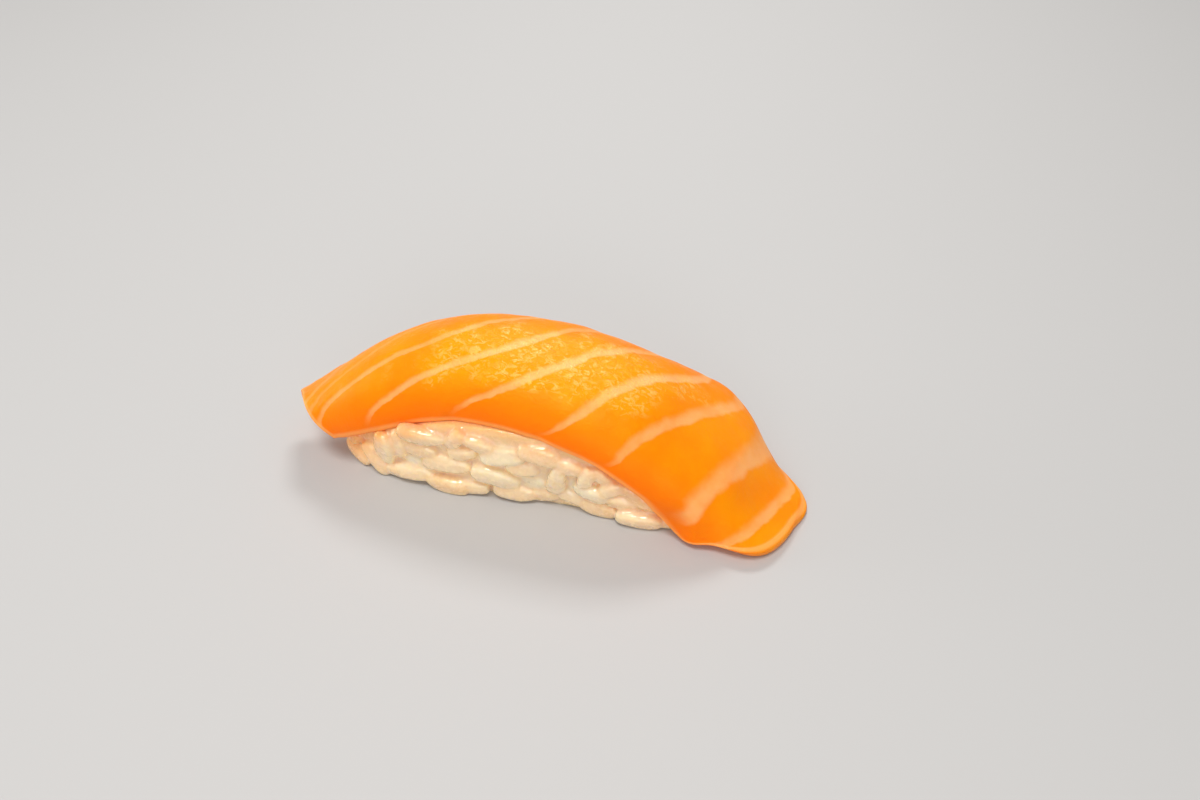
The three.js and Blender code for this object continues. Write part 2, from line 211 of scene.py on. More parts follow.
# Painted shade at the foot, then painted orange light from the slice
RICE_FOOT_SHADE, RICE_GLOW_AND_TINT = (0.72, 0.43, 0.18, 1), (1.0, 0.44, 0.13, 1)


# ---- Curves and noise ----
def smoothstep(x, a, b):
    t = np.clip((x - a) / (b - a), 0, 1)
    return t * t * (3 - 2 * t)


def bell(x, centre, half_width):
    return np.exp(-(((x - centre) / half_width) ** 2))


def superellipse(angle, power):
    c, s = np.cos(angle), np.sin(angle)
    return np.sign(c) * np.abs(c) ** (2 / power), np.sign(s) * np.abs(s) ** (2 / power)


def along(values, x):
    """Smooth curve through evenly spaced station values."""
    v = np.array(values, float)
    last = len(v) - 1
    t = np.clip((x - SLICE_LEFT) / (SLICE_RIGHT - SLICE_LEFT) * 2 - 1, -1.1, 1.1)
    place = (t + 1) / 2 * last
    i = np.clip(np.floor(place).astype(int), 0, last - 1)
    w = place - i
    b, c = v[i], v[i + 1]
    a = np.where(i > 0, v[np.maximum(i - 1, 0)], 2 * b - c)
    d = np.where(i + 2 <= last, v[np.minimum(i + 2, last)], 2 * c - b)
    return b + 0.5 * w * (c - a + w * (2 * a - 5 * b + 4 * c - d + w * (3 * (b - c) + d - a)))


def noise_at(points, wavelength, seed):
    """Smooth noise about 0 at each point, for a wavelength in mm."""
    shift = Vector((seed * 17.3, seed * 5.1, seed * 9.7))
    places = (Vector(p) / wavelength + shift for p in points.tolist())
    return np.array([noise.fractal(place, 1.0, 2.0, 2) for place in places])


def uneven(points, waves):
    """The sum of some waves of noise at each point."""
    return sum(height * noise_at(points, wavelength, seed) for wavelength, height, seed in waves)


# ---- The slice's surface ----
def section_at(x, front):
    """The middle's y, outer and inner reach, crown and its underside, and outer and inner edge."""
    front_reach = along(FRONT_REACH, x) + HEEL_REACH * bell(x, HEEL_X, HEEL_LENGTH)
    front_edge = along(FRONT_EDGE_HEIGHT, x) + HEEL_LIFT * bell(x, HEEL_LIFT_X, HEEL_LENGTH)
    reach = np.where(front, front_reach, along(BACK_REACH, x))
    edge = np.where(front, front_edge, along(BACK_EDGE_HEIGHT, x))
    crown = along(CROWN_HEIGHT, x)
    under = np.maximum(crown - along(CROWN_THICKNESS, x), 0)
    top_edge = (edge + FLAP_RIM_HEIGHT + np.hypot(edge - FLAP_RIM_HEIGHT, FLAP_BLEND)) / 2
    bottom_edge = np.minimum(np.maximum(edge, 0), under)
    inner = reach - along(EDGE_THICKNESS, x)
    return along(CROWN_Y, x), reach, inner, crown, under, top_edge, bottom_edge


def arch(y, reach, edge, crown, v):
    """The y and height of an arch at girth v, from -1 at its front edge to 1 at its back one."""
    turn = v * math.pi / 2
    across = np.sign(v) * np.abs(np.sin(turn)) ** (2 / ARCH_POWER)
    up = np.abs(np.cos(turn)) ** (2 / ARCH_POWER)
    return y + reach * across, edge + np.maximum(crown - edge, 0) * up


def slice_point(s, v, depth):
    """The slice's surface: s along it and v across it from -1 to 1, depth from outside to underside."""
    s, v, depth = np.broadcast_arrays(*(np.asarray(q, float) for q in (s, v, depth)))
    inward = depth**THICKNESS_POWER / (depth**THICKNESS_POWER + (1 - depth) ** THICKNESS_POWER)
    inward = inward * (1 - LEFT_THINNING * (1 - smoothstep(s, -1, LEFT_THINS_TO)))
    bulge = np.sin(np.pi * depth)
    corner = np.abs(v) ** CORNER_POWER
    front = v < 0
    left = SLICE_LEFT + LEFT_SLANT * v + LEFT_UNDERCUT * depth
    left = left + np.where(front, LEFT_FRONT_ROUNDING, LEFT_BACK_ROUNDING) * corner
    left = left - LEFT_BOW * (1 - v * v) * (1 - depth)
    right = SLICE_RIGHT + RIGHT_SLANT * v - RIGHT_BOW * v * v
    right = right - np.where(front, RIGHT_FRONT_ROUNDING, RIGHT_BACK_ROUNDING) * corner
    share = (s - RIM_SHARE_ALONG * (1 - bulge) * s**ENDS_ONLY + 1) / 2
    x = left + (right - left) * share
    y, reach, inner, crown, under, top_edge, bottom_edge = section_at(x, front)
    settle = smoothstep(s, FLAP_SETTLES_FROM, 1)
    crown = crown - settle * under
    under = under - settle * under
    top_edge = top_edge + (FLAP_RIM_HEIGHT - top_edge) * settle
    bottom_edge = bottom_edge * (1 - settle)
    oy, oz = arch(y, reach, top_edge, crown, v * (1 - RIM_SHARE_ACROSS * (1 - bulge)))
    iy, iz = arch(y, inner, bottom_edge, under, v)
    return np.stack([x, oy + (iy - oy) * inward, oz + (iz - oz) * inward], -1)


# ---- Meshes ----
def make_object(name, points_mm, faces):
    mesh = bpy.data.meshes.new(name)
    mesh.from_pydata(((points_mm + TO_FRAME) * MM).tolist(), [], faces)
    mesh.validate()
    mesh.update()
    mesh.shade_smooth()
    obj = bpy.data.objects.new(name, mesh)
    bpy.context.scene.collection.objects.link(obj)
    return obj


def set_attribute(obj, name, values):
    attribute = obj.data.attributes.new(name, "FLOAT", "POINT")
    attribute.data.foreach_set("value", np.asarray(values, np.float32))


def points_of(obj):
    co = np.zeros(len(obj.data.vertices) * 3, np.float64)
    obj.data.vertices.foreach_get("co", co)
    return co.reshape(-1, 3) / MM - TO_FRAME


def normals_of(obj):
    no = np.zeros(len(obj.data.vertices) * 3, np.float32)
    obj.data.vertex_normals.foreach_get("vector", no)
    return no.reshape(-1, 3).astype(float)


def move_points(obj, points_mm):
    obj.data.vertices.foreach_set("co", ((points_mm + TO_FRAME) * MM).ravel())
    obj.data.update()


# ---- Nodes ----
class Nodes:
    """A material's node tree, with short calls for the nodes used here."""

    def __init__(self, name):
        self.material = bpy.data.materials.new(name)
        self.material.use_nodes = True
        self.tree = self.material.node_tree

    def put(self, socket, value):
        if isinstance(value, bpy.types.NodeSocket):
            self.tree.links.new(value, socket)
        else:
            socket.default_value = value

    def shade(self, values):
        """Link or set the shader's sockets by name."""
        shader = self.tree.nodes["Principled BSDF"]
        for name, value in values.items():
            self.put(shader.inputs[name], value)

    def node(self, kind, **settings):
        made = self.tree.nodes.new(kind)
        for key, value in settings.items():
            setattr(made, key, value)
        return made

    def attribute(self, name):
        return self.node("ShaderNodeAttribute", attribute_name=name).outputs["Fac"]

    def math(self, operation, a, b, clamp=False):
        made = self.node("ShaderNodeMath", operation=operation, use_clamp=clamp)
        self.put(made.inputs[0], a)
        self.put(made.inputs[1], b)
        return made.outputs[0]

    def times(self, a, b, clamp=False):
        return self.math("MULTIPLY", a, b, clamp)

    def ramp(self, value, low, high, out_low=0.0, out_high=1.0):
        made = self.node("ShaderNodeMapRange", interpolation_type="SMOOTHSTEP")
        for socket, v in zip(made.inputs, (value, low, high, out_low, out_high)):
            self.put(socket, v)
        return made.outputs[0]

    def mix(self, share, a, b):
        made = self.node("ShaderNodeMix", data_type="RGBA")
        self.put(made.inputs[0], share)
        self.put(made.inputs[6], a)
        self.put(made.inputs[7], b)
        return made.outputs[2]

    def noise(self, size_mm, detail=2.0, stretch=(1, 1, 1), rough=0.5, distortion=0.0):
        mapping = self.node("ShaderNodeMapping")
        self.put(mapping.inputs["Vector"], self.node("ShaderNodeTexCoord").outputs["Object"])
        self.put(mapping.inputs["Scale"], stretch)
        made = self.node("ShaderNodeTexNoise")
        self.put(made.inputs["Vector"], mapping.outputs[0])
        self.put(made.inputs["Scale"], 1 / (size_mm * MM))
        self.put(made.inputs["Detail"], detail)
        self.put(made.inputs["Roughness"], rough)
        self.put(made.inputs["Distortion"], distortion)
        return made.outputs["Fac"]

    def bump(self, height, distance_mm, normal=None):
        made = self.node("ShaderNodeBump")
        self.put(made.inputs["Distance"], distance_mm * MM)
        self.put(made.inputs["Height"], height)
        if normal:
            self.put(made.inputs["Normal"], normal)
        return made.outputs[0]


# ---- Camera and stage ----
def add_camera():
    azimuth, elevation, roll = map(math.radians, (CAMERA_AZIMUTH, CAMERA_ELEVATION, CAMERA_ROLL))
    ahead = Vector((-math.sin(azimuth), math.cos(azimuth), 0))
    forward = ahead * math.cos(elevation) - Vector((0, 0, math.sin(elevation)))
    level = Vector((math.cos(azimuth), math.sin(azimuth), 0))
    upright = level.cross(forward)
    right = level * math.cos(roll) + upright * math.sin(roll)
    up = upright * math.cos(roll) - level * math.sin(roll)
    aim = CAMERA_AIM + Vector(TO_FRAME.tolist())
    place = aim - CAMERA_BACK * forward + CAMERA_RIGHT * right + CAMERA_UP * up
    data = bpy.data.cameras.new("camera")
    data.sensor_width = SENSOR_WIDTH
    data.lens = FOCAL_PIXELS / FRAME_WIDTH_PIXELS * SENSOR_WIDTH
    data.clip_start = CLIP_START_M
    camera = bpy.data.objects.new("camera", data)
    turn = Matrix((right, up, -forward)).transposed().to_4x4()
    camera.matrix_world = Matrix.Translation(place * MM) @ turn
    bpy.context.scene.collection.objects.link(camera)
    bpy.context.scene.camera = camera


def add_floor():
    half = FLOOR_HALF_WIDTH
    corners = [(-half, -half, 0), (half, -half, 0), (half, half, 0), (-half, half, 0)]
    mesh = bpy.data.meshes.new("floor")
    mesh.from_pydata(corners, [], [(0, 1, 2, 3)])
    floor = bpy.data.objects.new("floor", mesh)
    bpy.context.scene.collection.objects.link(floor)
    n = Nodes("floor")
    n.shade({"Base Color": FLOOR_COLOUR, "Roughness": FLOOR_ROUGHNESS})
    mesh.materials.append(n.material)


def add_softbox(name, place, aim, size, watts):
    data = bpy.data.lights.new(name, "AREA")
    data.shape = "RECTANGLE"
    data.size, data.size_y = size
    data.energy = watts
    light = bpy.data.objects.new(name, data)
    light.location = place
    light.rotation_euler = (Vector(aim) - Vector(place)).to_track_quat("-Z", "Y").to_euler()
    bpy.context.scene.collection.objects.link(light)


def add_studio():
    world = bpy.data.worlds.new("studio")
    world.use_nodes = True
    background = world.node_tree.nodes["Background"]
    background.inputs["Color"].default_value = STUDIO_COLOUR
    background.inputs["Strength"].default_value = STUDIO_STRENGTH
    bpy.context.scene.world = world
    bpy.context.scene.view_settings.view_transform = "Standard"
    for softbox in SOFTBOXES:
        add_softbox(*softbox)


# ---- Salmon ----
def slab(along_steps, across_steps, deep_steps):
    """A closed box surface in (s, v, depth): rings round it, and a grid across each end."""
    s = np.linspace(-1, 1, along_steps + 1)
    v = np.linspace(-1, 1, across_steps + 1)
    d = np.linspace(0, 1, deep_steps + 1)
    side, side_d = np.ones(deep_steps - 1), d[1:-1]
    ring_v = np.concatenate([v, side, v[::-1], -side])
    ring_d = np.concatenate([np.zeros_like(v), side_d, np.ones_like(v), side_d[::-1]])
    ring = len(ring_v)
    params = [np.stack([np.full(ring, place), ring_v, ring_d], -1) for place in s]
    faces = []
    for i in range(along_steps):
        for j in range(ring):
            k = (j + 1) % ring
            a, b = i * ring, (i + 1) * ring
            faces.append((a + j, b + j, b + k, a + k))
    total = ring * (along_steps + 1)

    def ring_index(vi, di):
        if di == 0:
            return vi
        if vi == across_steps:
            return across_steps + di
        if di == deep_steps:
            return across_steps + deep_steps + (across_steps - vi)
        return ring - di

    for end, start in ((-1.0, 0), (1.0, along_steps * ring)):
        index = {}
        for vi in range(across_steps + 1):
            for di in range(deep_steps + 1):
                if vi in (0, across_steps) or di in (0, deep_steps):
                    index[vi, di] = start + ring_index(vi, di)
                else:
                    index[vi, di] = total
                    params.append(np.array([[end, v[vi], d[di]]]))
                    total += 1
        for vi in range(across_steps):
            for di in range(deep_steps):
                face = (index[vi, di], index[vi + 1, di], index[vi + 1, di + 1], index[vi, di + 1])
                faces.append(face if end < 0 else face[::-1])
    return np.concatenate(params), faces


def line_at(places, v):
    """Where along the slice a fat line is at girth v, with its knots eased."""
    return sum(np.interp(v + k * LINE_EASE, LINE_GIRTHS, places) for k in (-1.5, -0.5, 0.5, 1.5)) / 4


def line_slope(places, v):
    return (line_at(places, v + SLOPE_STEP) - line_at(places, v - SLOPE_STEP)) / (2 * SLOPE_STEP)


def fat_fields(s, v):
    """The turn through the bands of flesh, a whole turn from one fat line to the next; how long
    a turn is in mm; and the nearest line's half width and strength."""
    lines = np.stack([line_at(places, v) for places, _, _ in FAT_LINES])
    slopes = np.stack([line_slope(places, v) for places, _, _ in FAT_LINES])
    steepness = np.hypot(1, slopes * HALF_LENGTH / HALF_GIRTH)
    k = np.clip((s > lines).sum(0) - 1, 0, len(FAT_LINES) - 2)
    here = np.take_along_axis(lines, k[None], 0)[0]
    following = np.take_along_axis(lines, k[None] + 1, 0)[0]
    share = (s - here) / (following - here)
    nearest = np.clip(np.round(k + share).astype(int), 0, len(FAT_LINES) - 1)
    steep = np.take_along_axis(steepness, nearest[None], 0)[0]
    turn_length = (following - here) * HALF_LENGTH / steep
    width = np.array([w for _, w, _ in FAT_LINES])[nearest]
    strength = np.array([p for _, _, p in FAT_LINES])[nearest]
    return share - np.round(share), turn_length, width, strength


def fat_band(n):
    """How much a place belongs to a fat line: sharp on one side of it, fading on the other."""
    turn = n.math("ARCTAN2", n.attribute("fat_sine"), n.attribute("fat_cosine"))
    distance = n.times(turn, n.attribute("fat_turn_length"))
    wobble = n.times(n.math("SUBTRACT", n.noise(2.2, 3), 0.5), 1.1)
    place = n.math("DIVIDE", n.math("ADD", distance, wobble), n.attribute("fat_width"))
    fading_side = n.ramp(place, -1.7, -0.3)
    sharp_side = n.ramp(place, 0.35, 0.95, 1.0, 0.0)
    band = n.times(n.times(fading_side, sharp_side), n.attribute("fat_strength"))
    patchy = n.ramp(n.noise(3.5, 3), 0.25, 0.7, 0.6, 1.0)
    return n.times(band, patchy, clamp=True)


def salmon_material():
    n = Nodes("salmon_flesh")
    # Colour painted by place: a sheen on the wet patch, a highlight along the arris, shade on the sides
    wet_sheen, rim, low = n.attribute("wet_sheen"), n.attribute("rim"), n.attribute("low")
    wrinkles = n.noise(0.8, 3, stretch=(0.75, 1, 1), rough=0.6, distortion=0.9)
    clumps = n.ramp(n.noise(3.2, 2), 0.36, 0.56, 0.15, 1.0)
    # Flecks in the wet patch: painted highlights in colour, and less rough
    highlight_flecks = n.times(n.times(n.ramp(wrinkles, 0.48, 0.61), clumps), wet_sheen)

    colour = n.mix(n.ramp(n.noise(7.0, 3), 0.3, 0.7), FLESH, FLESH_CLOUDY)
    # Painted shade: the sides deeper and darker orange
    colour = n.mix(low, colour, FLESH_SHADED)
    # Painted sheen: the wet patch lighter and yellower
    colour = n.mix(n.times(wet_sheen, 0.7), colour, FLESH_SHEEN)
    # Painted highlights in the flecks
    colour = n.mix(n.times(highlight_flecks, 0.65), colour, FLECK_HIGHLIGHT)
    # Fat lines, paler under the painted sheen of the wet patch
    colour = n.mix(n.times(fat_band(n), 0.9), colour, n.mix(wet_sheen, FAT_DRY, FAT_SHEEN))
    # Painted highlight: a pale line along the arris
    colour = n.mix(n.times(rim, 0.45), colour, RIM_HIGHLIGHT)

    dry_roughness = n.ramp(n.noise(1.4, 2), 0.3, 0.7, 0.38, 0.52)
    fine = n.bump(n.noise(0.5, 3), 0.03)
    ripple = n.times(wrinkles, n.ramp(wet_sheen, 0.0, 1.0, 0.3, 1.0))
    n.shade(
        {
            "Base Color": colour,
            "Roughness": n.math("SUBTRACT", dry_roughness, n.times(highlight_flecks, 0.28)),
            "IOR": 1.4,
            "Specular Tint": (1.0, 0.75, 0.18, 1),
            "Subsurface Weight": 0.35,
            "Subsurface Radius": (1.0, 0.35, 0.1),
            "Subsurface Scale": 1.6 * MM,
            "Normal": n.bump(ripple, 0.2, normal=fine),
        }
    )
    return n.material


def wet_sheen_share(points, s, v):
    """1 in the wet patch on the crown, where a sheen is painted, and 0 away from it, with a ragged
    border.
    """
    middle = WET_SHEEN_GIRTH + WET_SHEEN_GIRTH_SLOPE * s + WET_SHEEN_GIRTH_CURVE * np.maximum(s, 0) ** 2
    away = np.hypot((s - WET_SHEEN_PLACE) / WET_SHEEN_HALF_LENGTH, (v - middle) / WET_SHEEN_HALF_GIRTH)
    return 1 - smoothstep(away + uneven(points, WET_SHEEN_BORDER_WAVES), *WET_SHEEN_BORDER)


def shaded_sides_share(v):
    """Painted shade, a deeper orange: 1 along the slice's front edge and half as much along its back
    one.
    """
    front = 1 - smoothstep(v, *SHADE_AT_FRONT)
    return np.maximum(front, SHADE_BACK_SHARE * smoothstep(v, *SHADE_AT_BACK))


def rim_highlight_share(s, v, depth):
    """1 along the upper arris of the slice's ends and edges, where a pale highlight is painted."""
    rim = np.maximum(smoothstep(np.abs(s), *RIM_AT_ENDS), smoothstep(np.abs(v), *RIM_AT_EDGES))
    return rim * (1 - smoothstep(depth, *RIM_SINKS))


def add_salmon():
    params, faces = slab(*SLICE_STEPS)
    s, v, depth = params.T
    obj = make_object("salmon_flesh", slice_point(s, v, depth), faces)
    points, normals = points_of(obj), normals_of(obj)
    turn, turn_length, width, strength = fat_fields(s, v)
    top = 1 - smoothstep(depth, *TOP_ENDS)
    groove = GROOVE_DEPTH * bell(turn * turn_length, 0, GROOVE_HALF_WIDTH) * strength
    lift = (uneven(points, SALMON_WAVES) - groove) * (1 - smoothstep(np.abs(s), *RELIEF_ENDS))
    lift = lift * (UNDERSIDE_RELIEF + (1 - UNDERSIDE_RELIEF) * top)
    points = points + normals * lift[:, None]
    points[:, 2] = np.maximum(points[:, 2], 0.0)
    move_points(obj, points)

    widening = FAT_WIDTH_AT_FRONT + (1 - FAT_WIDTH_AT_FRONT) * smoothstep(v, *FAT_WIDENS)
    fading = smoothstep(v, *FAT_APPEARS) * (1 - FAT_SUNK * smoothstep(depth, *FAT_SINKS))
    set_attribute(obj, "fat_sine", np.sin(2 * np.pi * turn))
    set_attribute(obj, "fat_cosine", np.cos(2 * np.pi * turn))
    set_attribute(obj, "fat_turn_length", turn_length / (2 * np.pi))
    set_attribute(obj, "fat_width", width * widening)
    set_attribute(obj, "fat_strength", strength * fading)
    # The wet patch: glossier, and a painted sheen in its colour
    set_attribute(obj, "wet_sheen", wet_sheen_share(points, s, v) * top)
    # Where a pale highlight is painted along the arris
    set_attribute(obj, "rim", rim_highlight_share(s, v, depth))
    # Painted shade along the front and back sides
    set_attribute(obj, "low", shaded_sides_share(v))
    obj.data.materials.append(salmon_material())
    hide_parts("salmon")
    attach(obj, "root")


# ---- The rice block ----
def rice_plan(angle, z, shrink):
    """The block's outline at height z, in plan, for an angle round it. It leans in at the foot."""
    foot = np.maximum(0, 1 - z / FOOT_HEIGHT) ** 2
    c, s = superellipse(angle, RICE_PLAN_POWER)
    x = (RICE_HALF_LENGTH - FOOT_INSET_ENDS * foot - shrink) * c
    past = smoothstep(x, TAPER_START, RICE_HALF_LENGTH)
    width = RICE_HALF_WIDTH - FOOT_INSET_SIDES * foot - shrink
    y = width * s * (1 - np.where(s < 0, TAPER_FRONT, TAPER_BACK) * past)
    turn_x = x * math.cos(RICE_TURN) - y * math.sin(RICE_TURN)
    turn_y = x * math.sin(RICE_TURN) + y * math.cos(RICE_TURN)
    return np.stack([turn_x + RICE_CENTRE[0], turn_y + RICE_CENTRE[1]], -1)


def rice_top(x, y, into_slice):
    """How high the rice reaches at a place: up to the slice's underside, and a little into it."""
    middle, _, inner, _, under, _, bottom_edge = section_at(x, y < along(CROWN_Y, x))
    under, bottom_edge, inner = under + into_slice, bottom_edge + into_slice, inner + into_slice
    n = np.minimum(1, np.abs(y - middle) / inner)
    rise = (1 - n**ARCH_POWER) ** (1 / ARCH_POWER)
    return np.maximum(LOWEST_TOP, bottom_edge + (under - bottom_edge) * rise)


def rice_core():
    """The pressed inside of the block: rings up its wall, then inwards over its top."""
    wall_rings = [(1.0, share) for share in CORE_WALL_SHARES]
    top_rings = [(share, 1.0) for share in CORE_TOP_SHARES]
    angles = np.linspace(0, 2 * math.pi, CORE_SIDES, endpoint=False)
    rings = []
    for width_share, height_share in wall_rings + top_rings:
        shrink = CORE_INSIDE + CORE_FOOT_INSIDE * max(0.0, 1 - height_share / CORE_FOOT_SHARE)
        rim = rice_plan(angles, height_share * 2 * FOOT_HEIGHT, shrink)
        flat = RICE_CENTRE + (rim - RICE_CENTRE) * width_share
        height = height_share * rice_top(flat[:, 0], flat[:, 1], CORE_INTO_SLICE)
        rings.append(np.column_stack([flat, height]))
    summit = float(rice_top(*RICE_CENTRE, CORE_INTO_SLICE))
    points = np.vstack([*rings, [[*RICE_CENTRE, summit]], [[*RICE_CENTRE, 0.0]]])
    top, bottom = len(points) - 2, len(points) - 1
    last_ring = (len(rings) - 1) * CORE_SIDES
    faces = []
    for a in range(0, last_ring, CORE_SIDES):
        b = a + CORE_SIDES
        for j in range(CORE_SIDES):
            k = (j + 1) % CORE_SIDES
            faces.append((a + j, a + k, b + k, b + j))
    for j in range(CORE_SIDES):
        k = (j + 1) % CORE_SIDES
        faces.append((last_ring + j, last_ring + k, top))
        faces.append((k, j, bottom))
    return points, faces


# ---- Where the grains lie ----
class Wall:
    """The block's side, unrolled: p is the way round it in mm, z the height."""

    def __init__(self):
        self.angles = np.linspace(0, 2 * math.pi, WALL_STEPS + 1)
        self.ring = rice_plan(self.angles, FOOT_HEIGHT, WALL_INSIDE)
        steps = np.linalg.norm(np.diff(self.ring, axis=0), axis=1)
        self.run = np.concatenate([[0], np.cumsum(steps)])
        self.length = self.run[-1]

    def frame(self, p, z):
        """A place on the wall and its tangent and outward normal there."""
        angle = np.interp(p % self.length, self.run, self.angles)
        turns = (-TANGENT_STEP, 0, TANGENT_STEP)
        before, here, after = (rice_plan(angle + turn, z, WALL_INSIDE) for turn in turns)
        tangent = Vector((*(after - before), 0)).normalized()
        return Vector((*here, z)), tangent, tangent.cross(Vector((0, 0, 1)))

    def way_to(self, x):
        """The way round to the front wall's place at x."""
        away = np.where(np.sin(self.angles) < FRONT_SINE, np.abs(self.ring[:, 0] - x), np.inf)
        return self.run[int(np.argmin(away))]


class Grain:
    """A grain on the wall: the way round and height of its middle, its lean, how far out it
    stands, its share of the full length, and its tone from dark to pale."""

    def __init__(self, p, z, lean, out, size, tone):
        self.p, self.z, self.lean = p, z, lean
        self.out, self.size, self.tone = out, size, tone
        line_half = GRAIN_HALF[0] * size - GRAIN_HALF[1] * LINE_END_INSET
        step = np.linspace(-line_half, line_half, LINE_POINTS)
        self.line = np.array([p, z]) + np.stack([np.cos(lean) * step, np.sin(lean) * step], -1)

    def near(self, other, wall, least):
        """Whether the middle lines come nearer than least, measured the short way round."""
        apart = other.p - self.p
        whole_turns = wall.length * round(apart / wall.length)
        if abs(apart - whole_turns) > NEIGHBOURS_WITHIN:
            return False
        gaps = self.line[:, None] - (other.line - np.array([whole_turns, 0]))[None]
        return np.sqrt((gaps**2).sum(-1)).min() < least

    def fits(self, wall):
        """Whether it lies between the floor and the slice."""
        place, _, _ = wall.frame(self.p, self.z)
        reach = abs(math.sin(self.lean)) * GRAIN_HALF[0] + abs(math.cos(self.lean)) * GRAIN_HALF[1]
        top = float(rice_top(place.x, place.y, 0.0))
        return self.z + REACH_UP * reach <= top + SPARE_ABOVE and self.z - REACH_DOWN * reach >= 0


def place_grains(wall, rng):
    """The front's seen grains, then random ones wherever they fit, in deeper and deeper layers."""
    placed = [
        Grain(wall.way_to(x), z, math.radians(lean), out, size, tone)
        for x, z, lean, size, out, tone in SEEN_GRAINS
    ]
    for least, out, tries in LAYERS:
        for _ in range(tries):
            steep = rng.random() < STEEP_SHARE
            lean = rng.uniform(-STEEP_LEAN, STEEP_LEAN) if steep else rng.gauss(0.0, USUAL_LEAN)
            p, z = rng.uniform(0, wall.length), rng.uniform(*RANDOM_HEIGHTS)
            grain_out = out + rng.uniform(*RANDOM_OUT)
            grain = Grain(p, z, lean, grain_out, rng.uniform(*RANDOM_SIZES), rng.random())
            if grain.fits(wall) and not any(grain.near(other, wall, least) for other in placed):
                placed.append(grain)
    return placed


# ---- A grain's shape ----
def grain_ball():
    """A unit ball with its poles along x."""
    points, faces = [(-1.0, 0.0, 0.0)], []
    for i in range(1, BALL_RINGS):
        a = math.pi * i / BALL_RINGS
        for j in range(BALL_SIDES):
            b = 2 * math.pi * j / BALL_SIDES
            points.append((-math.cos(a), math.sin(a) * math.cos(b), math.sin(a) * math.sin(b)))
    points.append((1.0, 0.0, 0.0))
    last = len(points) - 1
    for j in range(BALL_SIDES):
        k = (j + 1) % BALL_SIDES
        faces.append((0, 1 + k, 1 + j))
        faces.append((last, last - BALL_SIDES + j, last - BALL_SIDES + k))
        for i in range(BALL_RINGS - 2):
            a, b = 1 + i * BALL_SIDES, 1 + (i + 1) * BALL_SIDES
            faces.append((a + j, a + k, b + k, b + j))
    return np.array(points), faces


BALL, BALL_FACES = grain_ball()


def grain_shape(rng, size):
    """One plump grain about its own middle: blunt, a little bent and thicker at one end."""
    x, y, z = BALL.T
    blunt = np.hypot(y, z) ** rng.uniform(*GRAIN_BLUNTNESS)
    c, s = superellipse(np.arctan2(z, y), GRAIN_POWER)
    taper = 1 + rng.uniform(-GRAIN_TAPER, GRAIN_TAPER) * x
    bend = rng.uniform(-GRAIN_BEND, GRAIN_BEND) * (1 - x * x)
    width = GRAIN_HALF[1] * math.sqrt(size) * rng.uniform(*GRAIN_WIDTHS)
    half = np.array([GRAIN_HALF[0] * size, width, GRAIN_HALF[2] * rng.uniform(*GRAIN_DEPTHS)])
    return np.stack([x, blunt * c * taper + bend, blunt * s * taper], -1) * half, half


def grain_axes(grain, tangent, normal, rng):
    """Unit axes along a grain, across it and out of the wall, a little off the wall's own."""
    up = normal.cross(tangent)
    up = up if up.z > 0 else -up
    length = tangent * math.cos(grain.lean) + up * math.sin(grain.lean)
    length = (length + normal * rng.uniform(-GRAIN_TILT, GRAIN_TILT)).normalized()
    roll = rng.uniform(-GRAIN_ROLL, GRAIN_ROLL)
    across = normal.cross(length).normalized()
    outward = length.cross(across)
    rolled_across = across * math.cos(roll) + outward * math.sin(roll)
    rolled_outward = outward * math.cos(roll) - across * math.sin(roll)
    return np.array([length, rolled_across, rolled_outward])


def foot_hollow(place, normal, z):
    """How far the foot of the front stands back, about the middle of its length."""
    if normal.y >= 0:
        return 0.0
    return HOLLOW_DEPTH * bell(place.x, HOLLOW_X, HOLLOW_LENGTH) * (1 - smoothstep(z, *HOLLOW_HEIGHTS))


def stand_grain(grain, wall, rng):
    """A grain's points on the wall, its centre, and the matrix that makes it a unit ball."""
    place, tangent, normal = wall.frame(grain.p, grain.z)
    shape, half = grain_shape(rng, grain.size)
    axes = grain_axes(grain, tangent, normal, rng)
    out = grain.out + GRAIN_STANDS_OUT - foot_hollow(place, normal, grain.z)
    centre = np.array(place) + np.array(normal) * out
    points = shape @ axes + centre
    points[:, 2] = np.maximum(points[:, 2], 0.0)
    return points, centre, axes / half[:, None]


# ---- The rice's skin ----
def loose_rice():
    """The core and its grains as one mesh, and each grain's centre, matrix and tone."""
    rng = random.Random(GRAIN_SEED)
    wall = Wall()
    core_points, all_faces = rice_core()
    all_points, grains = [core_points], []
    base = len(core_points)
    for grain in place_grains(wall, rng):
        points, centre, to_ball = stand_grain(grain, wall, rng)
        all_points.append(points)
        all_faces.extend(tuple(i + base for i in face) for face in BALL_FACES)
        base += len(points)
        grains.append((centre, to_ball, grain.tone))
    return np.concatenate(all_points), all_faces, grains


def fuse(obj):
    """Join the grains and the core to one closed skin, with no more triangles than its budget."""
    remesh = obj.modifiers.new("fuse", "REMESH")
    remesh.mode = "VOXEL"
    remesh.voxel_size = RICE_VOXEL * MM
    bpy.context.view_layer.objects.active = obj
    obj.select_set(True)
    bpy.ops.object.modifier_apply(modifier="fuse")
    triangles = 2 * len(obj.data.polygons)
    if triangles > RICE_TRIANGLES:
        fewer = obj.modifiers.new("fewer", "DECIMATE")
        fewer.ratio = RICE_TRIANGLES / triangles
        bpy.ops.object.modifier_apply(modifier="fewer")
    obj.data.shade_smooth()


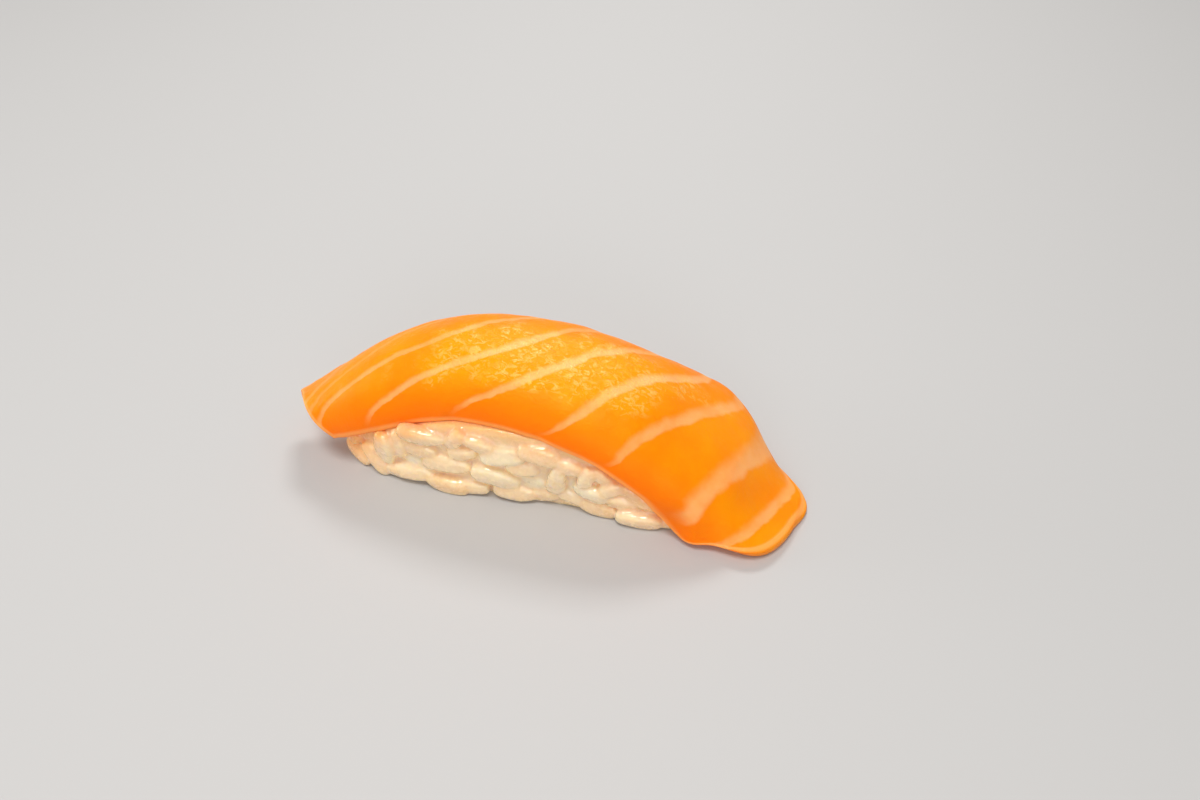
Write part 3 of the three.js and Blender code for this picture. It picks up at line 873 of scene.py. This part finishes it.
def owners(points, grains):
    """The tone of each point's nearest grain, and 1 where it lies in a crease or on the core."""
    centres, to_balls, tones = (np.array(part) for part in zip(*grains))
    tone, crease = np.zeros(len(points)), np.zeros(len(points))
    for start in range(0, len(points), POINTS_AT_A_TIME):
        some = slice(start, start + POINTS_AT_A_TIME)
        away = np.linalg.norm(points[some, None] - centres[None], axis=2)
        near = np.argpartition(away, OWNER_CANDIDATES, axis=1)[:, :OWNER_CANDIDATES]
        in_ball = np.einsum("nkij,nkj->nki", to_balls[near], points[some, None] - centres[near])
        radius = np.linalg.norm(in_ball, axis=2)
        order = np.argsort(radius, axis=1)
        first = np.take_along_axis(radius, order[:, :1], 1)[:, 0]
        second = np.take_along_axis(radius, order[:, 1:2], 1)[:, 0]
        tone[some] = tones[np.take_along_axis(near, order[:, :1], 1)[:, 0]]
        crease[some] = np.maximum(1 - smoothstep(second - first, *SEAM), smoothstep(first, *BARE_CORE))
    return tone, crease


def filleted(obj, points, share):
    """The mesh's points drawn towards their neighbours' mean, each by its own share."""
    ends = np.zeros(len(obj.data.edges) * 2, np.int32)
    obj.data.edges.foreach_get("vertices", ends)
    a, b = ends.reshape(-1, 2).T
    n = len(points)
    count = np.bincount(a, minlength=n) + np.bincount(b, minlength=n)
    for _ in range(FILLET_PASSES):
        sums = [np.bincount(a, points[b, i], n) + np.bincount(b, points[a, i], n) for i in range(3)]
        points = points + share[:, None] * (np.stack(sums, -1) / count[:, None] - points)
    return points


def soften(obj, points, crease):
    """Fill the creases a little, round them, and make the skin uneven. The floor's side stays."""
    above_floor = smoothstep(points[:, 2], *FLOOR_CLEARED)
    filled = points + normals_of(obj) * (CREASE_FILL * crease * above_floor)[:, None]
    filled = filleted(obj, filled, (FILLET + CREASE_FILLET * crease) * above_floor)
    move_points(obj, filled)
    lift = uneven(points, RICE_WAVES) * above_floor
    move_points(obj, filled + normals_of(obj) * lift[:, None])


def orange_glow_and_tint(points):
    """How much orange is painted on the rice: light from the slice, most under its edge and at the left
    end, and a slight tint over the right half.
    """
    x, y, z = points.T
    *_, bottom_edge = section_at(x, y < along(CROWN_Y, x))
    drop = np.maximum(bottom_edge - z, 0)
    under_edge = EDGE_GLOW * np.exp(-drop / EDGE_GLOW_FADES)
    left_end = LEFT_GLOW * smoothstep(-x, *LEFT_GLOW_FROM) * np.exp(-drop / LEFT_GLOW_FADES)
    right_half = RIGHT_TINT * smoothstep(x, *RIGHT_TINT_FROM)
    return np.clip(under_edge + left_end + right_half, 0, 1)


def rice_material():
    n = Nodes("rice_grains")
    cloudy = n.ramp(n.noise(1.1, 3), 0.4, 0.65)
    colour = n.mix(n.attribute("tone"), GRAIN_DARK, GRAIN_PALE)
    colour = n.mix(n.times(cloudy, 0.35), colour, GRAIN_CLOUDY)
    colour = n.mix(n.times(n.attribute("crease"), 0.6), colour, RICE_CREASE)
    # Painted shade: darker towards the floor
    colour = n.mix(n.times(n.attribute("foot"), 0.2), colour, RICE_FOOT_SHADE)
    # Painted orange light from the slice, and a slight tint on the right
    colour = n.mix(n.attribute("tint"), colour, RICE_GLOW_AND_TINT)
    relief = n.bump(n.noise(1.0), 0.1)
    n.shade(
        {
            "Base Color": colour,
            "Roughness": n.ramp(n.noise(0.9, 3), 0.35, 0.65, 0.14, 0.32),
            "IOR": 1.55,
            "Specular Tint": (1.0, 0.84, 0.58, 1),
            "Subsurface Weight": 1.0,
            "Subsurface Radius": (1.0, 0.9, 0.5),
            "Subsurface Scale": 1.5 * MM,
            "Coat Weight": 0.6,
            "Coat Roughness": 0.07,
            "Coat IOR": 1.75,
            "Normal": n.bump(n.noise(0.4), 0.015, normal=relief),
            "Coat Normal": n.bump(n.noise(0.7), 0.16),
        }
    )
    return n.material


def add_rice():
    loose_points, faces, grains = loose_rice()
    obj = make_object("rice_grains", loose_points, faces)
    fuse(obj)
    points = points_of(obj)
    tone, crease = owners(points, grains)
    soften(obj, points, crease)
    set_attribute(obj, "tone", tone)
    set_attribute(obj, "crease", crease)
    # Painted shade, fading up from the floor
    set_attribute(obj, "foot", 1 - smoothstep(points[:, 2], *FOOT_SHADE))
    # Painted orange light from the slice, with the right half's slight tint
    set_attribute(obj, "tint", orange_glow_and_tint(points))
    obj.data.materials.append(rice_material())
    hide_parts("rice")
    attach(obj, "root")


add_camera()
add_floor()
add_studio()
add_salmon()
add_rice()
